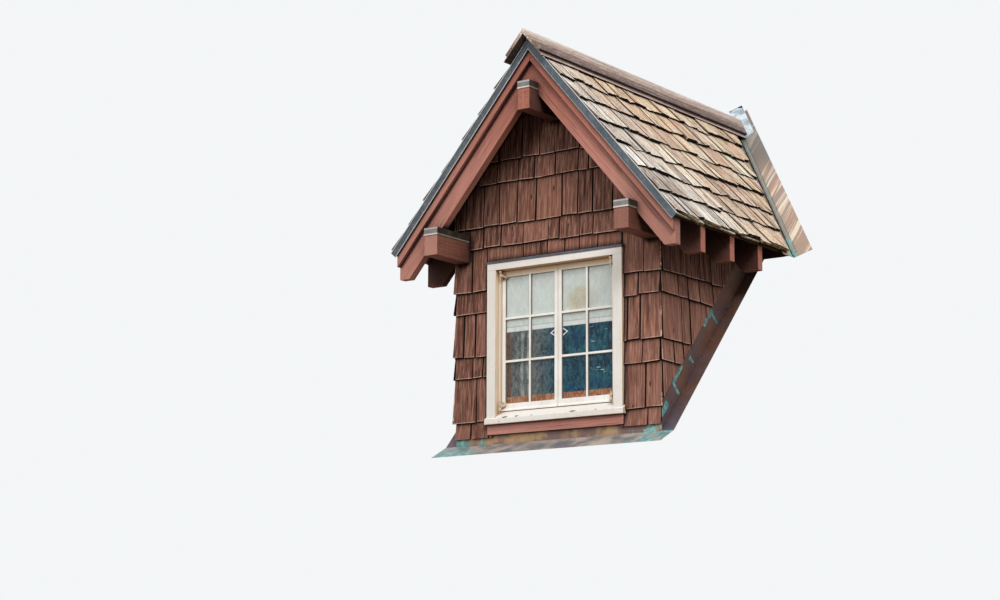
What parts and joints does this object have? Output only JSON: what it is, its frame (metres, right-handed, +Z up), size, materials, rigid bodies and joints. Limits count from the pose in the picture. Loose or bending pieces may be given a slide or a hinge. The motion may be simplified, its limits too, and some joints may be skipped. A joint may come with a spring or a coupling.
{
  "type": "gabled dormer window",
  "caption": "Gabled roof dormer with shingled walls, a pair of small-paned casements, projecting beams under the barge boards, open eaves and metal flashings.",
  "frame": {"origin": "middle of the front wall's foot, where the wall's mid-plane meets the main roof's surface on the dormer's centre line", "axes": "+X to the right along the front wall as seen from outside, +Y level and back into the main roof, +Z up"},
  "size_m": [2.79, 3.3487, 3.2485],
  "materials": {
    "stained_shingle": "semi-transparent stain, worn",
    "wall_boarding": "rough",
    "brick_red_paint": "flat paint",
    "bare_softwood": "sawn",
    "cedar_shake": "weathered",
    "weathered_board": "weathered",
    "drip_metal": "aged",
    "cap_metal": "aged",
    "aged_copper": "patinated copper",
    "grey_sheet": "matt",
    "cream_paint": "satin paint",
    "hinge_metal": "satin",
    "pane_glass": "clear",
    "brown_wood": "varnished",
    "blind_fabric": "woven",
    "blind_bar": "matt"
  },
  "bodies": {
    "root": {"front_wall": "wall_boarding", "cheek_walls": "wall_boarding", "ridge_beam": "brick_red_paint", "plate_beams": "brick_red_paint", "beam_caps": "cap_metal", "left_rafters": "brick_red_paint", "right_rafters": "brick_red_paint", "eave_blocks": "brick_red_paint", "left_valley_plate": "bare_softwood", "right_valley_plate": "bare_softwood", "left_roof_deck": "bare_softwood", "right_roof_deck": "bare_softwood", "left_barge_board": "brick_red_paint", "right_barge_board": "brick_red_paint", "left_rake_trim": "brick_red_paint", "right_rake_trim": "brick_red_paint", "left_drip_edge": "drip_metal", "right_drip_edge": "drip_metal", "left_roof_shakes": "cedar_shake", "right_roof_shakes": "cedar_shake", "left_ridge_board": "weathered_board", "right_ridge_board": "weathered_board", "left_valley_flashing": "aged_copper", "right_valley_flashing": "aged_copper", "saddle_cap": "grey_sheet", "front_shingles": "stained_shingle", "left_cheek_shingles": "stained_shingle", "right_cheek_shingles": "stained_shingle", "base_flashing": "aged_copper", "step_flashings": "aged_copper", "apron_board": "brick_red_paint", "window_frame": "cream_paint", "window_sill": "cream_paint", "side_casings": "cream_paint", "head_casing": "cream_paint", "head_flashing": "grey_sheet", "left_sash": "cream_paint", "right_sash": "cream_paint", "window_glass": "pane_glass", "sash_hinges": "hinge_metal", "window_stool": "brown_wood", "blind_roller": "blind_bar", "blind_cloth": "blind_fabric", "blind_hem_bar": "blind_bar"}
  },
  "joints": []
}
